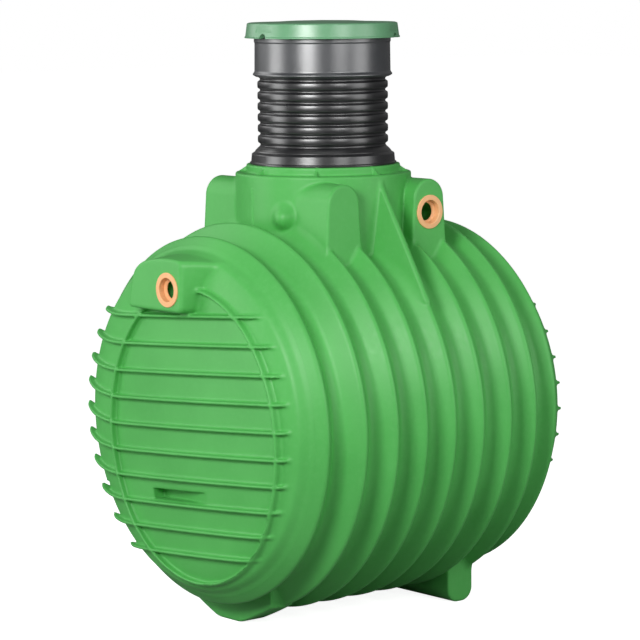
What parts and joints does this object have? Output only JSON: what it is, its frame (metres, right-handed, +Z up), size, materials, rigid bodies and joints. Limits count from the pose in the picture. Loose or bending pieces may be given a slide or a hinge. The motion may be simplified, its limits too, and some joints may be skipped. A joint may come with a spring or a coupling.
{
  "type": "rainwater retention tank",
  "caption": "Horizontal moulded tank with ribbed barrel, ribbed ends, upright manhole neck, corrugated riser, collar and lift-off lid.",
  "frame": {"origin": "centre of the tank's footprint on the floor, under the neck's axis", "axes": "+X along the barrel, away from the end shown in the picture; +Z up along the neck"},
  "size_m": [1.788, 1.7496, 2.648],
  "materials": {
    "green_tank": "satin",
    "green_lid": "satin",
    "grey_collar": "satin",
    "black_pipe": "satin",
    "orange_rubber": "matte"
  },
  "bodies": {
    "tank": {"barrel_segment_1": "green_tank", "barrel_segment_2": "green_tank", "barrel_segment_3": "green_tank", "barrel_segment_4": "green_tank", "barrel_segment_5": "green_tank", "barrel_segment_6": "green_tank", "barrel_segment_7": "green_tank", "barrel_segment_8": "green_tank", "front_end": "green_tank", "rear_end": "green_tank", "front_port_boss": "green_tank", "rear_port_boss": "green_tank", "front_end_ribs": "green_tank", "rear_end_ribs": "green_tank", "neck_wall_1": "green_tank", "neck_wall_2": "green_tank", "neck_wall_3": "green_tank", "neck_wall_4": "green_tank", "neck_shoulder": "green_tank", "blank_boss_front": "green_tank", "blank_boss_back": "green_tank", "port_boss_front": "green_tank", "port_boss_back": "green_tank", "conduit_nose_front": "green_tank", "conduit_nose_back": "green_tank", "gusset_front": "green_tank", "gusset_back": "green_tank", "parting_rib_right": "green_tank", "parting_rib_left": "green_tank", "front_port_seal": "orange_rubber", "rear_port_seal": "orange_rubber", "side_port_seal_front": "orange_rubber", "side_port_seal_back": "orange_rubber", "riser_foot": "black_pipe", "riser_wall_1": "black_pipe", "riser_wall_2": "black_pipe", "riser_wall_3": "black_pipe", "riser_wall_4": "black_pipe", "collar": "grey_collar", "front_foot_pad": "green_tank", "rear_foot_beam": "green_tank"},
    "lid": {"lid": "green_lid"}
  },
  "joints": [
    {"name": "lid_lift", "type": "slide", "parent": "tank", "child": "lid", "axis": [0, 0, 1], "range_m": [0, 0.3]}
  ]
}
